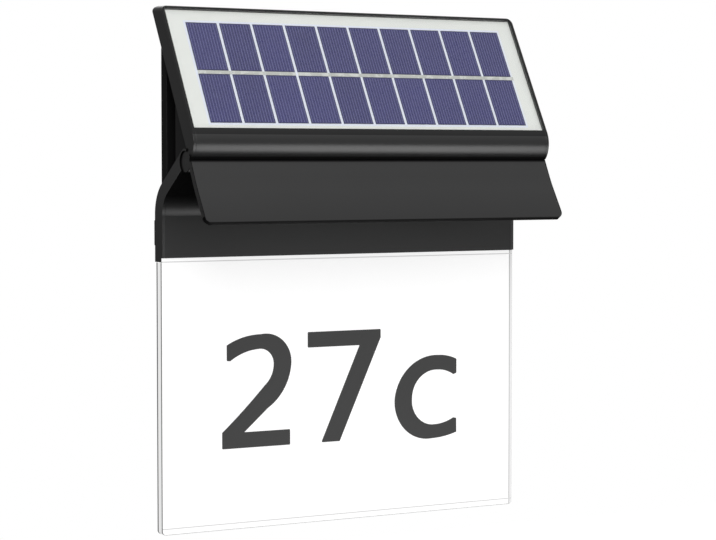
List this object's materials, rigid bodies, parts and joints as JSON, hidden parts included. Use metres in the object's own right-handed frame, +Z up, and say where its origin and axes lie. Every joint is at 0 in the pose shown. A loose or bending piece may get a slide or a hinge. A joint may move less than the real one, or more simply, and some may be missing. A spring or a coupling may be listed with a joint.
{
  "type": "house number light",
  "caption": "Wall house number light: lit acrylic number plate under a tilting solar panel head with a visor and battery box.",
  "frame": {"origin": "centre of the wall plate's back face, on the wall", "axes": "+Y into the wall, so the sign faces -Y; +Z up; +X to the right as seen from the front"},
  "size_m": [0.2014, 0.0587, 0.2541],
  "materials": {
    "black_coat": "satin black powder coat on extruded aluminium",
    "bracket_coat": "satin dark coat on aluminium plate",
    "steel": "zinc-plated or stainless steel",
    "pad_rubber": "matt black",
    "acrylic": "polished clear acrylic, white when seen over the sheet behind it",
    "white_sheet": "matt white sheet",
    "seal_rubber": "matt black",
    "foil": "matt dark grey foil",
    "circuit_board": "green solder resist",
    "led_lens": "yellow phosphor under clear resin",
    "lead_jacket": "black flexible sheath",
    "washer_nylon": "natural nylon",
    "black_plastic": "black moulded plastic",
    "panel_glass": "clear flat glass",
    "solar_cell": "violet-grey silicon cell with fine contact fingers",
    "tinned_ribbon": "tinned copper strip",
    "cover_plastic": "dark grey moulded plastic",
    "battery_wrap": "green shrink wrap",
    "button_rubber": "matt black"
  },
  "bodies": {
    "bracket": {"wall_plate": "bracket_coat", "hang_studs": "steel", "lower_body": "black_coat", "body_cap_left": "black_coat", "body_cap_right": "black_coat", "wall_pads": "pad_rubber", "light_guide": "acrylic", "reflector_sheet": "white_sheet", "plate_seal": "seal_rubber", "clamp_screws": "steel", "numeral_two": "foil", "numeral_seven": "foil", "letter_c": "foil", "led_board": "circuit_board", "led_chips": "led_lens", "body_lead": "lead_jacket", "hinge_lug_left": "steel", "hinge_lug_right": "steel", "lug_screws": "steel"},
    "head": {"pivot_pins": "steel", "friction_washers": "washer_nylon", "bore_plugs": "black_plastic", "visor": "black_coat", "solar_housing": "black_coat", "housing_cap_left": "black_coat", "housing_cap_right": "black_coat", "cover_glass": "panel_glass", "solar_cells": "solar_cell", "cell_ribbons": "tinned_ribbon", "backsheet": "white_sheet", "glass_seal": "seal_rubber", "battery_cover": "cover_plastic", "cover_gasket": "seal_rubber", "cover_screws": "steel", "battery_holder": "black_plastic", "battery_cells": "battery_wrap", "battery_contacts": "steel", "control_board": "circuit_board", "board_components": "black_plastic", "board_pads": "seal_rubber", "panel_tails": "tinned_ribbon", "battery_leads": "lead_jacket", "head_lead": "lead_jacket", "switch_board": "circuit_board", "mode_switch": "black_plastic", "switch_leads": "lead_jacket", "button_seal": "seal_rubber"},
    "mode_button": {"mode_button": "button_rubber"}
  },
  "joints": [
    {"name": "head_tilt", "type": "hinge", "parent": "bracket", "child": "head", "pos_m": [0, -0.0372, -0.0048], "axis": [1, 0, 0], "range_deg": [0, 45]},
    {"name": "mode_button_press", "type": "slide", "parent": "head", "child": "mode_button", "axis": [-1, 0, 0], "range_m": [0, 0.0008], "stiffness_N_per_m": 1500}
  ]
}
